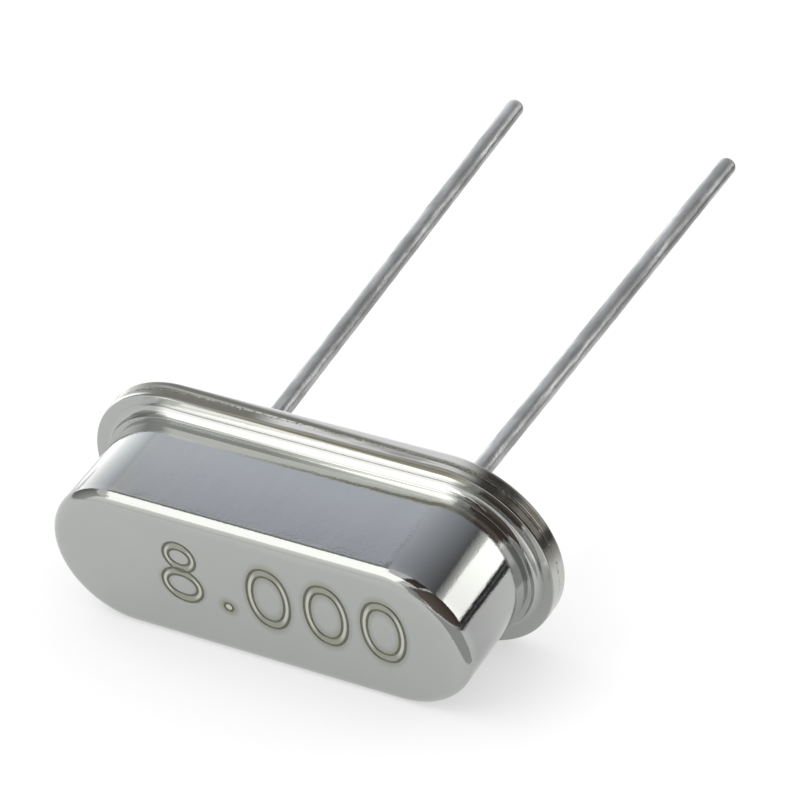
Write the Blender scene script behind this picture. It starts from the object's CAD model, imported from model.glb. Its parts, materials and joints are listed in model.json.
# Low-profile quartz crystal with two wire leads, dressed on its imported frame. Each new piece is made
# standing on its seating face, leads down, in millimetres, and is then laid down in its place.
import json
import math
import bpy
from mathutils import Matrix, Vector


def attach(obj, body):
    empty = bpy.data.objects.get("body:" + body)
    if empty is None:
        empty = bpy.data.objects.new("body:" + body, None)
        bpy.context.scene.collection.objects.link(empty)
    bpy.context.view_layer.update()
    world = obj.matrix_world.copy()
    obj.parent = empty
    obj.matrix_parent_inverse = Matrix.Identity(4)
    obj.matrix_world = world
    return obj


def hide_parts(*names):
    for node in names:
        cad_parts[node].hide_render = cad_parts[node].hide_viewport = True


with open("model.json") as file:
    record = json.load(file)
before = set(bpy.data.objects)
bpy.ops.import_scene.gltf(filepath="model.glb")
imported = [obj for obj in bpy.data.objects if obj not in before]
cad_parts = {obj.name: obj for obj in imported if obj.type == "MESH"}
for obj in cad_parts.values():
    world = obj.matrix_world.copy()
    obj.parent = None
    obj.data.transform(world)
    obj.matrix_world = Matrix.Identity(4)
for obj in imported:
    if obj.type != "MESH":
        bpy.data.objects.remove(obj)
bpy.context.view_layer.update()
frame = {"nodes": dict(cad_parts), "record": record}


# The base: a pressed steel plate, nickel-plated like the can. Its rim is the lower half of the
# welded flange, its plug fits inside the can, and its two round holes take the glass beads.
END_SPACING = 6.35  # between the centres of the two round ends
END_STEPS = 32  # facets in each quarter of a round end
FLAT_CUT = 3.14  # the long flats are cut across here, just inside the round ends
FLANGE_REACH = 2.3  # from the ends' centres to the flange's rim
SEAM_HEIGHT = 0.27  # of the weld between base and can, above the seating face
SEAM_ROUNDING = 0.02
BASE_EDGE = 0.08
PLUG_REACH = 1.45
PLUG_HEIGHT = 0.75
PLUG_EDGE = 0.1
BEAD_RADIUS = 0.7
BEAD_SIDES = 64
LEAD_PITCH = 4.88
RIM_DRAFT = 0.075  # the trimmed rims lean in by this much for each millimetre towards the can
STRIP = 0.012  # a narrow strip at each end of a flat keeps its shading plain
TOOL_SPARE = 1  # a cutting tool is longer than its hole by this much
SAME_LEVEL = 0.002  # a face this close to a height lies at it
LEVEL_NORMAL = 0.999  # and one whose normal has at least this much of Z is level
MERGE = 1e-4  # points this close are one
MM = 0.001

seating_face = next(m for m in frame["record"]["mounts"] if m["name"] == "seating_face")
can_way = -Vector(seating_face["axis"]).normalized()
turned = Matrix((Vector((1, 0, 0)), can_way.cross(Vector((1, 0, 0))), can_way)).transposed()
laid = Matrix.Translation(seating_face["pos_m"]) @ turned.to_4x4() @ Matrix.Scale(MM, 4)


def let_go():
    """Leaves edit mode, with nothing selected."""
    if bpy.context.mode != "OBJECT":
        bpy.ops.object.mode_set(mode="OBJECT")
    bpy.ops.object.select_all(action="DESELECT")


def pick(piece, faces=None, edges=None):
    """Goes to edit mode with only the faces, or the edges, that the given rule accepts selected."""
    let_go()
    bpy.context.view_layer.objects.active = piece
    piece.select_set(True)
    mesh = piece.data
    for elements in (mesh.vertices, mesh.edges, mesh.polygons):
        elements.foreach_set("select", [False] * len(elements))
    bpy.context.tool_settings.mesh_select_mode = (False, edges is not None, edges is None)
    if edges:
        for edge in mesh.edges:
            edge.select = edges(*(mesh.vertices[i].co for i in edge.vertices))
    if faces:
        for face in mesh.polygons:
            face.select = faces(face)
    bpy.ops.object.mode_set(mode="EDIT")


def facing(up, level):
    """A rule for pick: level faces at that height, looking up for 1 and down for -1."""
    return lambda face: face.normal.z * up > LEVEL_NORMAL and abs(face.center.z - level) < SAME_LEVEL


def rise(inward, outward):
    """Insets the selected faces and moves them out along their normal."""
    bpy.ops.mesh.inset(thickness=inward, depth=outward, use_even_offset=True)


def run_on(inward, outward):
    """Carries the selected faces along a straight stretch, which gets a narrow strip at each end."""
    strip = STRIP / math.hypot(inward, outward)
    for share in (strip, 1 - 2 * strip, strip):
        rise(inward * share, outward * share)


def round_edge(radius, steps, way=1):
    """Carries the selected faces from an upright wall round an edge to the flat; way is -1 in a hollow."""
    for n in range(steps):
        a, b = (math.pi / 2 * k / steps for k in (n, n + 1))
        rise(radius * (math.cos(a) - math.cos(b)), way * radius * (math.sin(b) - math.sin(a)))


def round_ended_block(name, reach, low, high):
    """A block whose two ends are half circles, from a cube with its four upright edges rounded."""
    let_go()
    bpy.ops.mesh.primitive_cube_add(
        size=1,
        location=(0, 0, (low + high) / 2),
        scale=(END_SPACING + 2 * reach, 2 * reach, high - low),
    )
    piece = bpy.context.object
    piece.name = piece.data.name = name
    bpy.ops.object.transform_apply(location=True, rotation=True, scale=True)
    pick(piece, edges=lambda a, b: abs(a.z - b.z) > MERGE)
    bpy.ops.mesh.bevel(offset=reach, segments=END_STEPS, affect="EDGES", clamp_overlap=False)
    bpy.ops.mesh.select_all(action="SELECT")
    bpy.ops.mesh.remove_doubles(threshold=MERGE)
    return piece


def cut(piece, tool):
    """Takes the tool away from the piece, and the tool goes."""
    let_go()
    bpy.context.view_layer.objects.active = piece
    piece.select_set(True)
    boolean = piece.modifiers.new("cut", "BOOLEAN")
    boolean.object = tool
    boolean.operation = "DIFFERENCE"
    boolean.solver = "EXACT"
    bpy.ops.object.modifier_apply(modifier=boolean.name)
    bpy.data.objects.remove(tool)


def cut_across(piece):
    """Cuts the faces across near each round end, so that the long flats shade flat."""
    for x in (-FLAT_CUT, FLAT_CUT):
        pick(piece)
        bpy.ops.mesh.select_all(action="SELECT")
        bpy.ops.mesh.bisect(plane_co=(x, 0, 0), plane_no=(1, 0, 0))


def lay_down(piece, smooth_to=30):
    """Puts the finished piece in its place, with its object at the origin, and smooths its roundings."""
    let_go()
    bpy.context.view_layer.objects.active = piece
    piece.select_set(True)
    bpy.ops.object.shade_smooth_by_angle(angle=math.radians(smooth_to))
    piece.matrix_world = laid
    bpy.ops.object.transform_apply(location=True, rotation=True, scale=True)


base = round_ended_block("base_pressed", FLANGE_REACH, BASE_EDGE, BASE_EDGE + STRIP)
pick(base, faces=facing(1, BASE_EDGE + STRIP))
base_rim = SEAM_HEIGHT - SEAM_ROUNDING - BASE_EDGE - STRIP
run_on(RIM_DRAFT * base_rim, base_rim)
round_edge(SEAM_ROUNDING, steps=4)
run_on(FLANGE_REACH - RIM_DRAFT * base_rim - SEAM_ROUNDING - PLUG_REACH, 0)
run_on(0, PLUG_HEIGHT - PLUG_EDGE - SEAM_HEIGHT)
round_edge(PLUG_EDGE, steps=6)
rise(STRIP, 0)
pick(base, faces=facing(-1, BASE_EDGE))
round_edge(BASE_EDGE, steps=6)
rise(STRIP, 0)
cut_across(base)
for side in (-1, 1):
    let_go()
    bpy.ops.mesh.primitive_cylinder_add(
        vertices=BEAD_SIDES,
        radius=BEAD_RADIUS,
        depth=PLUG_HEIGHT + TOOL_SPARE,
        location=(side * LEAD_PITCH / 2, 0, PLUG_HEIGHT / 2),
    )
    cut(base, bpy.context.object)
lay_down(base)


class Finish:
    """One output of a shader node. Sums on it add the Math nodes that work them out."""

    def __init__(self, tree, socket=None):
        self.tree, self.socket = tree, socket

    def node(self, kind, settings=(), inputs=(), output=""):
        """Adds a node: first its settings, and then the values or links of its sockets."""
        made = self.tree.nodes.new(kind)
        for name, value in dict(settings).items():
            setattr(made, name, value)
        for name, value in dict(inputs).items():
            socket = next(s for s in made.inputs if (s.enabled and s.name == name) or s.identifier == name)
            if isinstance(value, Finish):
                self.tree.links.new(value.socket, socket)
            else:
                socket.default_value = value
        usable = [s for s in made.outputs if s.enabled]
        named = [s for s in usable if s.name == output]
        return Finish(self.tree, (named or usable or [None])[0])

    def maths(self, operation, first, second=0.0):
        """Adds a Math node on one or two values."""
        return self.node("ShaderNodeMath", {"operation": operation}, {"Value": first, "Value_001": second})

    def __add__(self, other):
        return self.maths("ADD", self, other)

    def __sub__(self, other):
        return self.maths("SUBTRACT", self, other)

    def __rsub__(self, other):
        return self.maths("SUBTRACT", other, self)

    def __mul__(self, other):
        return self.maths("MULTIPLY", self, other)

    __radd__ = __add__
    __rmul__ = __mul__


def new_finish(name):
    """An empty material, and a start for its nodes."""
    material = bpy.data.materials.new(name)
    material.use_nodes = True
    material.node_tree.nodes.clear()
    return material, Finish(material.node_tree)


def finish_off(start, shader):
    """Makes the shader the material's surface."""
    start.node("ShaderNodeOutputMaterial", inputs={"Surface": shader})


def surface(start, inputs):
    """Gives the material a Principled surface with these inputs."""
    finish_off(start, start.node("ShaderNodeBsdfPrincipled", inputs=inputs))


def standing_place(start):
    """The place on a piece, in millimetres, as if it still stood on its seating face."""
    place = start.node("ShaderNodeTexCoord", output="Object")
    return start.node(
        "ShaderNodeMapping",
        {"vector_type": "TEXTURE"},
        {
            "Vector": place,
            "Location": seating_face["pos_m"],
            "Rotation": turned.to_euler(),
            "Scale": (MM, MM, MM),
        },
    )


def coordinate(place, axis):
    """The X, Y or Z of a place."""
    return place.node("ShaderNodeSeparateXYZ", inputs={"Vector": place}, output=axis)


def noise(upright, scale, detail=2.0, stretch=(1, 1, 1)):
    """Cloudy noise from 0 to 1, with the scale in waves per millimetre, after a stretch of the place."""
    place = upright.node(
        "ShaderNodeVectorMath", {"operation": "MULTIPLY"}, {"Vector": upright, "Vector_001": stretch}
    )
    return upright.node("ShaderNodeTexNoise", inputs={"Vector": place, "Scale": scale, "Detail": detail})


def either(first, second):
    """The greater of two shares."""
    return first.maths("MAXIMUM", first, second)


def step_between(value, low, high):
    """Goes smoothly from 0 to 1 as the value goes from low to high."""
    return value.node(
        "ShaderNodeMapRange",
        {"interpolation_type": "SMOOTHSTEP"},
        {"Value": value, "From Min": low, "From Max": high},
        "Result",
    )


def blend(share, first, second):
    """The first colour where the share is 0 and the second where it is 1."""
    return share.node(
        "ShaderNodeMix",
        {"data_type": "RGBA"},
        {"Factor_Float": share, "A_Color": first, "B_Color": second},
        "Result",
    )


def bump(height, distance, under=None):
    """Small unevenness of the surface, over the unevenness under it; the distance is in metres."""
    inputs = {"Strength": 1.0, "Distance": distance, "Height": height}
    if under:
        inputs["Normal"] = under
    return height.node("ShaderNodeBump", inputs=inputs, output="Normal")


NICKEL = (0.42, 0.432, 0.42, 1)
NICKEL_DULL = (0.33, 0.335, 0.33, 1)
NICKEL_BRIGHT = (0.85, 0.85, 0.83, 1)
HEAT_TINT = (0.18, 0.177, 0.158, 1)  # on the trimmed rims
RIM_LIGHT = (0.65, 0.65, 0.63, 1)  # where they were rubbed bright
SCALE = (0.26, 0.25, 0.20, 1)  # on the flat beside the rims
SCORCH = (0.11, 0.105, 0.08, 1)  # in spots along the seam
SPATTER = (0.55, 0.545, 0.52, 1)
FOOT_TOP = 0.77  # above it stands the plain wall of the can
WALL_TOP = 2.7  # where the wall's dullness and waves start to fade
RIM_FACE = 2.255  # the rims' trimmed face starts at this reach from the ends' centres
RIM_FACE_TOP = 0.505
DARK_LINE_HEIGHT = 0.216  # on the rims, at the middle of the long side
DARK_LINE_RISE = 0.0265  # for each millimetre to the right
WAVE_DEPTH = 6e-6  # of a drawn wall, in metres
DRAWING_LINE_DEPTH = 2.4e-7
SEAM_SPOT_DEPTH = 4e-6
GRAIN_DEPTH = 1.2e-6


def rim_light(x, y, height, streaks):
    """Where the trimmed rims were rubbed bright: below a slanting dark line, in a line and in streaks
    above it, and at both tips of the flange."""
    over = height - DARK_LINE_RISE * x - DARK_LINE_HEIGHT
    low = step_between(over, -0.03, -0.12)
    line = step_between(over, 0.02, 0.05) * step_between(over, 0.12, 0.07)
    line = line * step_between(x, -4.0, -3.3) * 0.45
    band = step_between(over, 0.02, 0.06) * step_between(height, 0.49, 0.42) * step_between(x, -1.4, -0.4)
    band = band * (0.3 + step_between(streaks, 0.36, 0.54) * 0.7)
    side = either(either(low, line), band) * step_between(x, 4.1, 3.4)
    left_tip = step_between(height, 0.39, 0.43) * step_between(x, -3.6, -4.2)
    right_tip = step_between(y, 0.7, 0.1) * step_between(x, 4.5, 5.0) * 0.6
    return either(either(side, left_tip), right_tip)


def polish(x, y, height, ends):
    """Where the nickel stays bright: low on the long sides, on part of the right end, and round the foot
    of the wall at both ends."""
    sides = step_between(height - 0.02 * x, 0.72, 0.66) * step_between(ends, 0.5, 0.1)
    right_end = step_between(height, 0.56, 0.52) * step_between(x, 3.4, 3.6)
    right_end = right_end * step_between(y, 0.3, 0.6) * step_between(y, 1.5, 0.9) * 0.7
    wall_foot = step_between(height, FOOT_TOP - 0.01, FOOT_TOP + 0.01)
    wall_foot = wall_foot * step_between(height + 0.03 * x + 0.165 * y, 1.25, 1.19)
    wall_foot = wall_foot * step_between(ends, 0.4, 1.0)
    return either(either(sides, right_end), wall_foot)


def nickel_finish(name, drawn=0, marks=None):
    """Bright nickel on sheet steel, with a fine grain, and rims dulled and marked by the weld. With drawn
    as 1 the wall has faint waves and drawing lines, and marks can add a tint of their own."""
    material, start = new_finish(name)
    upright = standing_place(start)
    cloud = noise(upright, 0.9, 3.0)
    grain = noise(upright, 26.0, 3.0)
    spots = noise(upright, 14.0, 3.0)
    waves = noise(upright, 1.6, 2.0, (1, 1, 0.5))
    drawing_lines = noise(upright, 9.0, 2.0, (1, 1, 0.04))
    streaks = noise(upright, 6.0, 3.0, (0.1, 0.1, 1.4))
    x, y, height = (coordinate(upright, axis) for axis in "XYZ")
    ends = x.maths("MAXIMUM", x.maths("ABSOLUTE", x) - END_SPACING / 2)
    reach = x.maths("SQRT", ends * ends + y * y)
    wall = step_between(height, FOOT_TOP, FOOT_TOP + 0.3) - step_between(height, WALL_TOP, WALL_TOP + 0.35)
    rim = step_between(reach, RIM_FACE, RIM_FACE + 0.015)
    rim = rim * step_between(height, RIM_FACE_TOP, RIM_FACE_TOP - 0.005)
    scale = step_between(reach + 0.022 * x, 2.18, 2.235) * step_between(x, 4.2, 3.3)
    seam = step_between(height, SEAM_HEIGHT - 0.06, SEAM_HEIGHT - 0.01)
    seam = seam - step_between(height, SEAM_HEIGHT + 0.02, SEAM_HEIGHT + 0.07)
    dull = step_between(height, 1.0, 2.9) * wall
    colour = blend(dull * 0.85 + cloud * 0.25, NICKEL, NICKEL_DULL)
    colour = blend(polish(x, y, height, ends), colour, NICKEL_BRIGHT)
    colour = blend(scale, colour, SCALE)
    colour = blend(rim, colour, blend(rim_light(x, y, height, streaks), HEAT_TINT, RIM_LIGHT))
    colour = blend(seam * step_between(spots, 0.5, 0.62) * 0.8, colour, SCORCH)
    colour = blend(seam * step_between(spots, 0.38, 0.3) * 0.8, colour, SPATTER)
    if marks:
        colour = marks(upright, colour)
    uneven = bump(grain, GRAIN_DEPTH)
    uneven = bump(waves * wall, drawn * WAVE_DEPTH, uneven)
    uneven = bump(drawing_lines * wall, drawn * DRAWING_LINE_DEPTH, uneven)
    uneven = bump(spots * seam, SEAM_SPOT_DEPTH, uneven)
    surface(
        start,
        {
            "Base Color": colour,
            "Metallic": 1.0,
            "Roughness": 0.055 + cloud * 0.03 + either(rim * 0.14, scale * 0.3),
            "Normal": uneven,
        },
    )
    return material


base.data.materials.append(nickel_finish("base_nickel"))
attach(base, "root")
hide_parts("base")


# The two glass beads: glass rings fused into the holes of the base, where they hold the leads,
# insulate them and seal the can. The melted glass stands a little higher at the steel and the wire.
BEAD_RECESS = 0.04  # each face of a bead lies this far inside the base's
BEAD_RINGS = 12
DIP_RADIUS = 0.6  # of the hollow between the steel and the wire, in section
WIRE_RADIUS = 0.215


def glass_bead(name, side):
    """A bead round one lead, with a dip in each face; side is -1 for the left one and 1 for the right."""
    low, high = BEAD_RECESS, PLUG_HEIGHT - BEAD_RECESS
    let_go()
    bpy.ops.mesh.primitive_cylinder_add(
        vertices=BEAD_SIDES,
        radius=BEAD_RADIUS,
        depth=high - low,
        location=(side * LEAD_PITCH / 2, 0, (low + high) / 2),
    )
    bead = bpy.context.object
    bead.name = bead.data.name = name
    bpy.ops.object.transform_apply(location=True, rotation=True, scale=True)
    middle = (BEAD_RADIUS + WIRE_RADIUS) / 2
    rings = [BEAD_RADIUS + (WIRE_RADIUS - BEAD_RADIUS) * n / BEAD_RINGS for n in range(BEAD_RINGS + 1)]
    dips = [math.sqrt(DIP_RADIUS ** 2 - (ring - middle) ** 2) for ring in rings]
    for up, level in ((1, high), (-1, low)):
        pick(bead, faces=facing(up, level))
        for n in range(BEAD_RINGS):
            rise(rings[n] - rings[n + 1], dips[n] - dips[n + 1])
    # The round face left inside each dip has the wire's size, and the wire's hole joins the two.
    pick(bead, faces=lambda face: abs(face.normal.z) > LEVEL_NORMAL and len(face.vertices) == BEAD_SIDES)
    bpy.ops.mesh.bridge_edge_loops()
    bpy.ops.mesh.select_all(action="SELECT")
    bpy.ops.mesh.normals_make_consistent(inside=False)
    lay_down(bead, smooth_to=50)
    return bead


seal_glass, start = new_finish("seal_glass")
upright = standing_place(start)
streaks = noise(upright, 3.0, 3.0)
bubbles = start.node("ShaderNodeTexVoronoi", inputs={"Vector": upright, "Scale": 14.0}, output="Distance")
surface(
    start,
    {
        "Base Color": blend(streaks, (0.018, 0.05, 0.055, 1), (0.035, 0.085, 0.085, 1)),
        "Roughness": 0.06 + streaks * 0.08,
        "IOR": 1.52,
        "Normal": bump(step_between(bubbles, 0.0, 0.25), 3e-6, bump(streaks, 8e-6)),
    },
)
for name, side in (("glass_bead_left", -1), ("glass_bead_right", 1)):
    bead = glass_bead(name + "_fused", side)
    bead.data.materials.append(seal_glass)
    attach(bead, "root")
    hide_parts(name)


# The two leads: soft wire, hot-dipped in tin after the welding, so that its skin is dull and a little
# lumpy. Each has a nail head inside, runs through its bead, bends slightly below it and ends rounded.
WIRE_SIDES = 32
HEAD_RADIUS = 0.42
HEAD_HEIGHT = 0.87
HEAD_THICKNESS = 0.14
HEAD_EDGE = 0.03
BEND_START = 0.3  # below the seating face
BEND_RADIUS = 3.0
BEND_STEPS = 6
LEAD_LENGTH = 13.4
LEAD_STEPS = 100  # rings of points along the straight stretch, for the lumps of the tin
TIP_ROUNDING = 0.16
TIN_LUMP = 0.006  # the skin wanders by up to this much
TIN_SEED = 7
EVEN_TOP = 0.6  # the tin is even for this much below the base
EVEN_TIP = 0.3  # and for this much at the tip


def wire_lead(name, side, bend, way):
    """A lead whose bend, in degrees, goes towards the given way round the lead's axis."""
    x = side * LEAD_PITCH / 2
    bend, way = math.radians(bend), math.radians(way)
    skin = WIRE_RADIUS - TIN_LUMP
    let_go()
    bpy.ops.mesh.primitive_cylinder_add(
        vertices=WIRE_SIDES,
        radius=HEAD_RADIUS,
        depth=HEAD_THICKNESS,
        location=(x, 0, HEAD_HEIGHT + HEAD_THICKNESS / 2),
    )
    lead = bpy.context.object
    lead.name = lead.data.name = name
    bpy.ops.object.transform_apply(location=True, rotation=True, scale=True)
    pick(lead, edges=lambda a, b: abs(a.z - b.z) < MERGE)
    bpy.ops.mesh.bevel(offset=HEAD_EDGE, segments=3, affect="EDGES")
    pick(lead, faces=facing(-1, HEAD_HEIGHT))
    rise(HEAD_RADIUS - HEAD_EDGE - skin, 0)
    rise(0, HEAD_HEIGHT)
    rise(0, BEND_START)
    bpy.ops.mesh.spin(
        steps=BEND_STEPS,
        angle=-bend,
        center=(x + BEND_RADIUS * math.cos(way), BEND_RADIUS * math.sin(way), -BEND_START),
        axis=(math.sin(way), -math.cos(way), 0),
    )
    straight = (LEAD_LENGTH - BEND_START - BEND_RADIUS * math.sin(bend)) / math.cos(bend) - TIP_ROUNDING
    for n in range(LEAD_STEPS):
        rise(0, straight / LEAD_STEPS)
    round_edge(TIP_ROUNDING, steps=5)
    pick(lead)
    bpy.ops.mesh.select_all(action="SELECT")
    bpy.ops.mesh.normals_make_consistent(inside=False)
    pick(lead, faces=lambda face: -LEAD_LENGTH + EVEN_TIP < face.center.z < -EVEN_TOP)
    bpy.ops.transform.vertex_random(offset=TIN_LUMP, uniform=1.0, seed=TIN_SEED + side)
    bpy.ops.mesh.vertices_smooth(factor=0.5, repeat=1)
    lay_down(lead, smooth_to=60)
    return lead


tinned_wire, start = new_finish("tinned_wire")
upright = standing_place(start)
lumps = noise(upright, 2.6, 3.0, (1, 1, 0.35))
skin_grain = noise(upright, 16.0, 3.0)
frost = step_between(lumps, 0.35, 0.7)
surface(
    start,
    {
        "Base Color": blend(frost, (0.31, 0.316, 0.314, 1), (0.46, 0.468, 0.465, 1)),
        "Metallic": 1.0,
        "Roughness": 0.40 - frost * 0.12 + skin_grain * 0.10,
        "Normal": bump(skin_grain, 6e-6, bump(lumps, 2.5e-5)),
    },
)
for name, side, bend, way in (("lead_left", -1, 1.8, 110), ("lead_right", 1, 1.7, 356)):
    lead = wire_lead(name + "_tinned", side, bend, way)
    lead.data.materials.append(tinned_wire)
    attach(lead, "root")
    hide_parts(name)


# Inside the can: two spring clips of thin nickel silver strip, welded on the leads' heads. Their
# solids are right as they are and only take their finish, with the rolling lines of the strip.
def dress(node, finish):
    """Gives one of the frame's solids its finish."""
    for held in frame["nodes"][node].material_slots:
        held.material = finish


clip_strip, start = new_finish("clip_strip")
upright = standing_place(start)
rolled = noise(upright, 14.0, 2.0, (0.05, 1, 1))
stain = noise(upright, 2.0, 3.0)
surface(
    start,
    {
        "Base Color": blend(stain, (0.60, 0.56, 0.46, 1), (0.52, 0.48, 0.38, 1)),
        "Metallic": 1.0,
        "Roughness": 0.2 + rolled * 0.15,
        "Normal": bump(rolled, 1.5e-6),
    },
)
for name in ("clip_left", "clip_right"):
    dress(name, clip_strip)


# The quartz strip: sawn and lapped to its frequency, clear with a faint frost left by the etching.
# It lies on the two clips' shelves, and its solid takes only its finish.
quartz, start = new_finish("quartz")
upright = standing_place(start)
frost = noise(upright, 5.0, 4.0)
lapped = noise(upright, 40.0, 2.0)
surface(
    start,
    {
        "Base Color": blend(frost, (0.80, 0.83, 0.84, 1), (0.90, 0.92, 0.91, 1)),
        "Roughness": 0.12 + frost * 0.2,
        "IOR": 1.544,
        "Transmission Weight": 0.85,
        "Normal": bump(lapped, 1e-6),
    },
)
dress("quartz_blank", quartz)


# The two silver films, evaporated on the strip's faces through a mask. They are thin and follow the
# strip, so they are as even as it is, with a slight yellowing from the air that was sealed in.
silver_film, start = new_finish("silver_film")
upright = standing_place(start)
tarnish = noise(upright, 1.3, 3.0)
surface(
    start,
    {
        "Base Color": blend(step_between(tarnish, 0.4, 0.7), (0.88, 0.87, 0.83, 1), (0.78, 0.72, 0.58, 1)),
        "Metallic": 1.0,
        "Roughness": 0.16 + tarnish * 0.12,
        "Normal": bump(noise(upright, 40.0, 2.0), 8e-7),
    },
)
for name in ("electrode_upper", "electrode_lower"):
    dress(name, silver_film)


# The two bonds: drops of silver-filled resin that hold the strip on its clips and join each film to
# its lead. The flakes of silver make them matt, grey and grainy.
silver_resin, start = new_finish("silver_resin")
upright = standing_place(start)
flakes = start.node("ShaderNodeTexVoronoi", inputs={"Vector": upright, "Scale": 30.0}, output="Distance")
clumps = noise(upright, 6.0, 4.0)
surface(
    start,
    {
        "Base Color": blend(clumps, (0.42, 0.42, 0.41, 1), (0.60, 0.60, 0.58, 1)),
        "Metallic": 0.35 + clumps * 0.4,
        "Roughness": 0.55 - clumps * 0.15,
        "Normal": bump(flakes, 8e-6, bump(clumps, 1e-5)),
    },
)
for name in ("bond_left", "bond_right"):
    dress(name, silver_resin)


# The can: one piece of sheet steel, drawn into a deep cup with round ends and nickel-plated. It has
# a stepped foot, a flange whose edge the welding ring pressed down, and a stamped number on its end.
CAN_REACH = 1.75
FOOT_REACH = 1.87
CAN_HEIGHT = 3.2
CAN_WALL = 0.2
CAN_EDGE = 0.3
RIM_HEIGHT = 0.51
RIM_ROUNDING = 0.034
WELD_RING = 0.24  # the welding ring pressed the flange down over this width
WELD_STEP = 0.005  # and this deep
FOOT_EDGE = 0.008
FOOT_COVE = 0.14
FOOT_HEIGHT = 0.7
DISH = 0.075  # the flange sinks by this much for each millimetre towards the foot
FOOT_DISH = 0.05  # and the foot's flat by this much towards the wall


def round_cove(radius, steps):
    """Carries the selected faces from a flat round a hollow corner to an upright wall."""
    for n in range(steps):
        a, b = (math.pi / 2 * k / steps for k in (n, n + 1))
        rise(radius * (math.sin(b) - math.sin(a)), radius * (math.cos(a) - math.cos(b)))


can_low = SEAM_HEIGHT + SEAM_ROUNDING
can = round_ended_block("can_drawn", FLANGE_REACH, can_low, can_low + STRIP)
pick(can, faces=facing(1, can_low + STRIP))
can_rim = RIM_HEIGHT - RIM_ROUNDING - can_low - STRIP
run_on(RIM_DRAFT * can_rim, can_rim)
round_edge(RIM_ROUNDING, steps=4)
ring_flat = WELD_RING - RIM_DRAFT * can_rim - RIM_ROUNDING
run_on(ring_flat, -DISH * ring_flat)
rise(0, WELD_STEP)
inner_flat = FLANGE_REACH - WELD_RING - FOOT_REACH - FOOT_COVE
run_on(inner_flat, -DISH * inner_flat)
round_cove(FOOT_COVE, steps=10)
cove_top = RIM_HEIGHT + WELD_STEP - DISH * (ring_flat + inner_flat) + FOOT_COVE
run_on(0, FOOT_HEIGHT - FOOT_EDGE - cove_top)
round_edge(FOOT_EDGE, steps=4)
foot_flat = FOOT_REACH - CAN_REACH - FOOT_EDGE
run_on(foot_flat, -FOOT_DISH * foot_flat)
run_on(0, CAN_HEIGHT - CAN_EDGE - FOOT_HEIGHT + FOOT_DISH * foot_flat)
round_edge(CAN_EDGE, steps=16)
rise(STRIP, 0)
pick(can, faces=facing(-1, can_low))
round_edge(SEAM_ROUNDING, steps=4)
rise(FLANGE_REACH - SEAM_ROUNDING - FOOT_REACH + CAN_WALL, 0)
rise(0, SEAM_HEIGHT - FOOT_HEIGHT + CAN_WALL)
rise(FOOT_REACH - CAN_REACH, 0)
rise(0, FOOT_HEIGHT - CAN_HEIGHT + CAN_EDGE - CAN_WALL)
round_edge(CAN_EDGE - CAN_WALL, steps=6, way=-1)
cut_across(can)

# The number on its flat end: each stroke is engraved as two fine grooves along its two edges, and the
# point as a ring. One ring-shaped tool cuts each groove. The 8 is two loops, one on the other.
STROKE_ACROSS, STROKE_ALONG = 0.13, 0.19  # between the two grooves, at the sides and at the top
GROOVE = 0.055
GROOVE_DEPTH = 0.02
LEAN = math.radians(3.5)  # of the upright strokes
SKIM = 0.0005  # a face deeper than this below the flat end belongs to a groove
NUMBER_X, NUMBER_Y = 3.8, 1.25  # the grooves all lie this close to the end's middle
FLATTEN = 1e6  # a scale that leaves the height out of a distance
STAIN = (0.27, 0.275, 0.22, 1)
STROKE_LINE = (0.60, 0.61, 0.56, 1)
tool_radius = (GROOVE ** 2 / 4 + GROOVE_DEPTH ** 2) / (2 * GROOVE_DEPTH)
tool_level = CAN_HEIGHT + tool_radius - GROOVE_DEPTH
# Each loop has the place of its middle, and its width and height outside.
loops = (
    (-1.62, 0.68, 0.82, 0.84),
    (-1.68, -0.10, 1.02, 0.96),
    (0.42, 0.20, 1.05, 1.64),
    (1.77, 0.20, 1.05, 1.64),
    (3.09, 0.20, 1.05, 1.64),
)
point = (-0.617, -0.361, 0.26, 0.26)


def ring_tool(x, y, width, height):
    """The tool for one groove: a ring with its middle at x, y, and that width and height outside."""
    let_go()
    bpy.ops.curve.primitive_bezier_circle_add(radius=0.5, location=(x, y, tool_level))
    tool = bpy.context.object
    bpy.ops.object.mode_set(mode="EDIT")
    bpy.ops.curve.select_all(action="SELECT")
    bpy.ops.transform.resize(value=(width - GROOVE, height - GROOVE, 1), center_override=(x, y, tool_level))
    bpy.ops.object.mode_set(mode="OBJECT")
    tool.data.resolution_u = 14
    tool.data.bevel_depth = tool_radius
    tool.data.bevel_resolution = 3
    bpy.ops.object.convert(target="MESH")
    tool.rotation_euler.z = -LEAN
    bpy.ops.object.transform_apply(location=True, rotation=True, scale=True)
    return tool


for x, y, width, height in loops:
    cut(can, ring_tool(x, y, width, height))
    cut(can, ring_tool(x, y, width - 2 * STROKE_ACROSS, height - 2 * STROKE_ALONG))
cut(can, ring_tool(*point))


def ring_share(upright, x, y, width, height):
    """How far the place is from the middle line of a stroke, and how far out it is sideways."""
    place = upright.node(
        "ShaderNodeMapping",
        {"vector_type": "TEXTURE"},
        {
            "Vector": upright,
            "Location": (x, y, 0),
            "Rotation": (0, 0, -LEAN),
            "Scale": ((width - GROOVE - STROKE_ACROSS) / 2, (height - GROOVE - STROKE_ALONG) / 2, FLATTEN),
        },
    )
    out = place.node("ShaderNodeVectorMath", {"operation": "LENGTH"}, {"Vector": place}, "Value")
    sideways = coordinate(place, "X")
    return (out - 1.0).maths("ABSOLUTE", out - 1.0), sideways.maths("ABSOLUTE", sideways)


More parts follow.
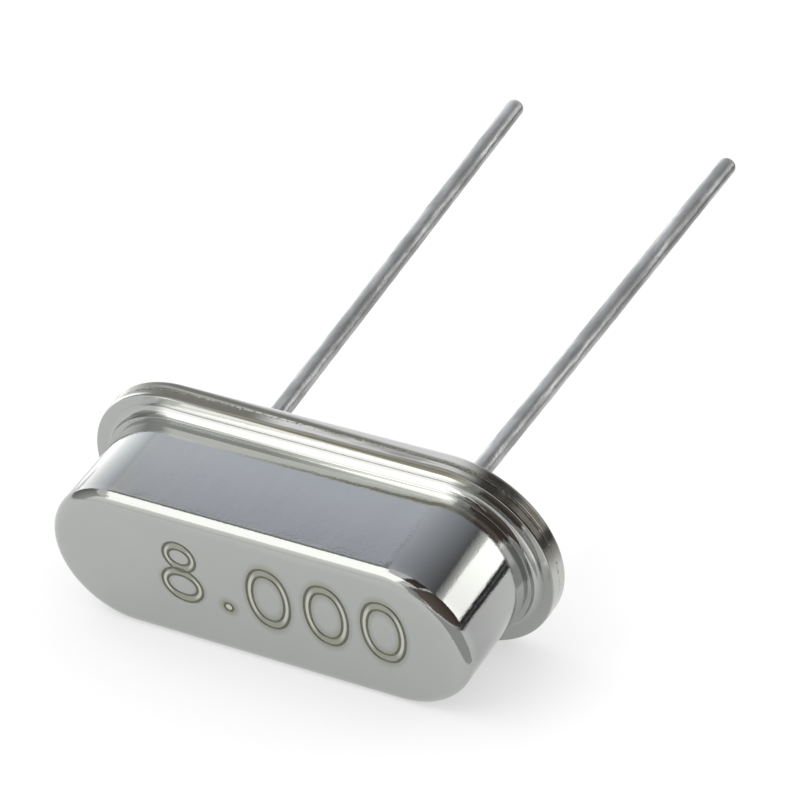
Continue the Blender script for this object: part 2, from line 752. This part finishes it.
def number_stain(upright, colour):
    """Tints the metal along each stroke: a soft olive shade round it, and a bright line on its two sides."""
    on_top = step_between(coordinate(upright, "Z"), CAN_HEIGHT - 0.1, CAN_HEIGHT - 0.03)
    from_point = upright.node(
        "ShaderNodeVectorMath",
        {"operation": "DISTANCE"},
        {"Vector": upright, "Vector_001": (*point[:2], CAN_HEIGHT)},
        "Value",
    )
    shade = step_between(from_point, 0.3, 0.14)
    line = step_between(from_point, 0.09, 0.05)
    for loop in loops:
        away, sideways = ring_share(upright, *loop)
        shade = either(step_between(away, 0.5, 0.12), shade)
        line = either(step_between(away, 0.1, 0.03) * step_between(sideways, 0.5, 0.85), line)
    colour = blend(shade * on_top * 0.72, colour, STAIN)
    return blend(line * on_top * 0.8, colour, STROKE_LINE)


def in_a_groove(face):
    """A rule for pick: the faces that the ring tools left below the flat end."""
    x, y, z = face.center
    return SKIM < CAN_HEIGHT - z < 2 * GROOVE_DEPTH and abs(x) < NUMBER_X and abs(y) < NUMBER_Y


can.data.materials.append(nickel_finish("can_nickel", drawn=1, marks=number_stain))

stamped, start = new_finish("stamped_groove")
upright = standing_place(start)
residue = noise(upright, 7.0, 3.0)
surface(
    start,
    {
        "Base Color": blend(residue, (0.19, 0.19, 0.145, 1), (0.13, 0.13, 0.10, 1)),
        "Metallic": 1.0,
        "Roughness": 0.24 + residue * 0.14,
        "Normal": bump(residue, 4e-6),
    },
)
can.data.materials.append(stamped)
pick(can, faces=in_a_groove)
can.active_material_index = 1
bpy.ops.object.material_slot_assign()
lay_down(can)
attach(can, "root")
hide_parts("can")


# The studio: a pale floor under an even white light, with two soft lamps over the front left and one
# low behind the right end. The metal also mirrors cards, which nothing else sees: bright ones by the
# lamps, dark ones to the left, to the right and above, and two on the floor to the right.
FLOOR_SIZE = 0.6
FLOOR_GLOW = 0.5  # the share of plain white that the camera, metal and glass see in the floor
CARD_LIFT = 0.0001  # of the cards on the floor
STUDIO = 0.25  # from the object to each lamp and card

let_go()
bpy.ops.mesh.primitive_plane_add(size=FLOOR_SIZE)
floor = bpy.context.object
floor.name = "floor"
floor_paint, start = new_finish("floor_paint")
seen = 0.0
for ray in ("Is Camera Ray", "Is Glossy Ray", "Is Transmission Ray"):
    seen = start.node("ShaderNodeLightPath", output=ray) * FLOOR_GLOW + seen
paint = start.node("ShaderNodeBsdfDiffuse", inputs={"Color": (0.9, 0.9, 0.9, 1)})
white = start.node("ShaderNodeEmission", inputs={"Color": (1, 1, 1, 1), "Strength": 1.0})
both = start.node("ShaderNodeMixShader", inputs={"Fac": seen, "Shader": paint, "Shader_001": white})
finish_off(start, both)
floor.data.materials.append(floor_paint)

world = bpy.data.worlds.new("world")
bpy.context.scene.world = world
world.use_nodes = True
world.node_tree.nodes["Background"].inputs["Color"].default_value = (1, 1, 1, 1)
world.node_tree.nodes["Background"].inputs["Strength"].default_value = 1.0


def way_to(azimuth, elevation):
    """The direction from the object: azimuth from +Y towards +X, and elevation above the floor."""
    a, e = math.radians(azimuth), math.radians(elevation)
    return Vector((math.sin(a) * math.cos(e), math.cos(a) * math.cos(e), math.sin(e)))


def stand_off(item, first, last, breadth, further=1):
    """Faces a lamp or card to the object, from its first side's direction to its last one's. Further is
    its distance as a share of STUDIO. Returns its size."""
    span = way_to(*first).angle(way_to(*last))
    out = (way_to(*first) + way_to(*last)).normalized()
    along = (way_to(*last) - way_to(*first)).normalized()
    item.rotation_euler = Matrix((along, out.cross(along), out)).transposed().to_euler()
    item.location = out * STUDIO * further
    return [2 * STUDIO * further * math.tan(a / 2) for a in (span, math.radians(breadth))]


def lamp(name, first, last, breadth, level):
    """A soft lamp; its breadth is in degrees as seen from the object, and its level is its brightness."""
    light = bpy.data.lights.new(name, "AREA")
    item = bpy.data.objects.new(name, light)
    bpy.context.scene.collection.objects.link(item)
    item.visible_camera = item.visible_glossy = False
    light.shape = "RECTANGLE"
    light.size, light.size_y = stand_off(item, first, last, breadth)
    light.energy = level * math.pi * light.size * light.size_y


def card_paint(item, first_level, last_level):
    """Makes the item a card that only the metal mirrors, its brightness going evenly across it."""
    for ray in ("camera", "diffuse", "shadow", "transmission", "volume_scatter"):
        setattr(item, "visible_" + ray, False)
    paint, start = new_finish(item.name)
    across = coordinate(start.node("ShaderNodeTexCoord", output="UV"), "X")
    colour = blend(across, (*first_level, 1), (*last_level, 1))
    finish_off(start, start.node("ShaderNodeEmission", inputs={"Color": colour, "Strength": 1.0}))
    item.data.materials.append(paint)


def card(name, first, last, breadth, first_level, last_level, further=1.08):
    """A card that faces the object; its brightness goes from its first side's level to its last one's."""
    let_go()
    bpy.ops.mesh.primitive_plane_add(size=1)
    item = bpy.context.object
    item.name = name
    item.scale = (*stand_off(item, first, last, breadth, further), 1)
    card_paint(item, first_level, last_level)


def floor_card(name, x, y, width, depth, turn, level):
    """A card of one level, lying just above the floor and turned by some degrees."""
    let_go()
    bpy.ops.mesh.primitive_plane_add(size=1, location=(x, y, CARD_LIFT), rotation=(0, 0, math.radians(turn)))
    item = bpy.context.object
    item.name = name
    item.scale = (width, depth, 1)
    card_paint(item, (level, level, level), (level, level, level))


# Each lamp and card runs from the direction of its first side to that of its last. Its breadth across
# that is in degrees, and the levels are its brightness, for a card at its first side and at its last.
lamp("key", (-141, 46), (-69, 57), 19, 1.8)
lamp("front_left", (-180, 49), (-136, 48), 35, 1.8)
lamp("low_right", (49.5, 9), (49.5, 36), 14, 1.5)
card("key_face", (-141, 51), (-69, 62), 19, (2.35, 2.35, 2.3), (2.35, 2.35, 2.3), 1)
card("front_left_face", (-180, 50), (-129, 50), 38, (2.35, 2.33, 2.25), (2.35, 2.33, 2.25), 1)
card("front_low", (-154, 0.3), (-154, 34), 60, (0.95, 0.95, 0.93), (1.4, 1.4, 1.37))
card("front_right", (178, 17), (160, 17), 34, (0.65, 0.64, 0.6), (0.35, 0.34, 0.32), 1.04)
card("low_right_face", (51.5, 6.2), (51.5, 34), 18, (2.55, 2.53, 2.47), (2.55, 2.53, 2.47), 1)
card("low_right_glow", (51.5, 34), (51.5, 44), 18, (1.2, 1.19, 1.16), (0.3, 0.3, 0.29), 1)
card("low_right_foot", (49, 0.3), (49, 6.2), 30, (0.04, 0.04, 0.04), (0.04, 0.04, 0.04))
card("low_left", (-46, 0), (-48, 45), 34, (2.2, 2.2, 2.2), (0.80, 0.85, 0.92))
card("left_end", (-57, -16), (-57, 14), 56, (2.4, 2.4, 2.4), (2.4, 2.4, 2.4), 0.055)
card("gap", (-71, 61), (-53.5, 52), 18, (0.4, 0.4, 0.38), (0.4, 0.4, 0.38))
card("left_flag", (-128, 18), (-61, 18), 36, (0.7, 0.7, 0.68), (0.14, 0.14, 0.13))
card("right_flag", (160, 18), (58, 18), 62, (0.23, 0.185, 0.165), (0.07, 0.043, 0.034))
card("top_flag", (150, 64), (45, 60), 22, (0.12, 0.09, 0.08), (0.06, 0.048, 0.042))
card("ceiling", (-52, 49), (58, 42), 20, (0.93, 0.96, 1.06), (0.08, 0.08, 0.075))
floor_card("right_ground", 0.023, -0.01825, 0.034, 0.0235, 0, 0.56)
floor_card("far_ground", 0.098, 0.085, 0.215, 0.12, 41, 0.05)


# The camera looks down on the can's flat end from the front right, through a long lens that leaves
# little perspective. Its place is in millimetres and its turn in degrees.
camera = bpy.data.objects.new("camera", bpy.data.cameras.new("camera"))
bpy.context.scene.collection.objects.link(camera)
camera.location = Vector((34.191, -59.195, 40.05)) * MM
camera.rotation_euler = [math.radians(a) for a in (61.147, 1.548, 29.979)]
camera.data.lens = 162
camera.data.sensor_width = 36
camera.data.clip_start = 0.001
bpy.context.scene.camera = camera
bpy.context.scene.view_settings.view_transform = "Standard"
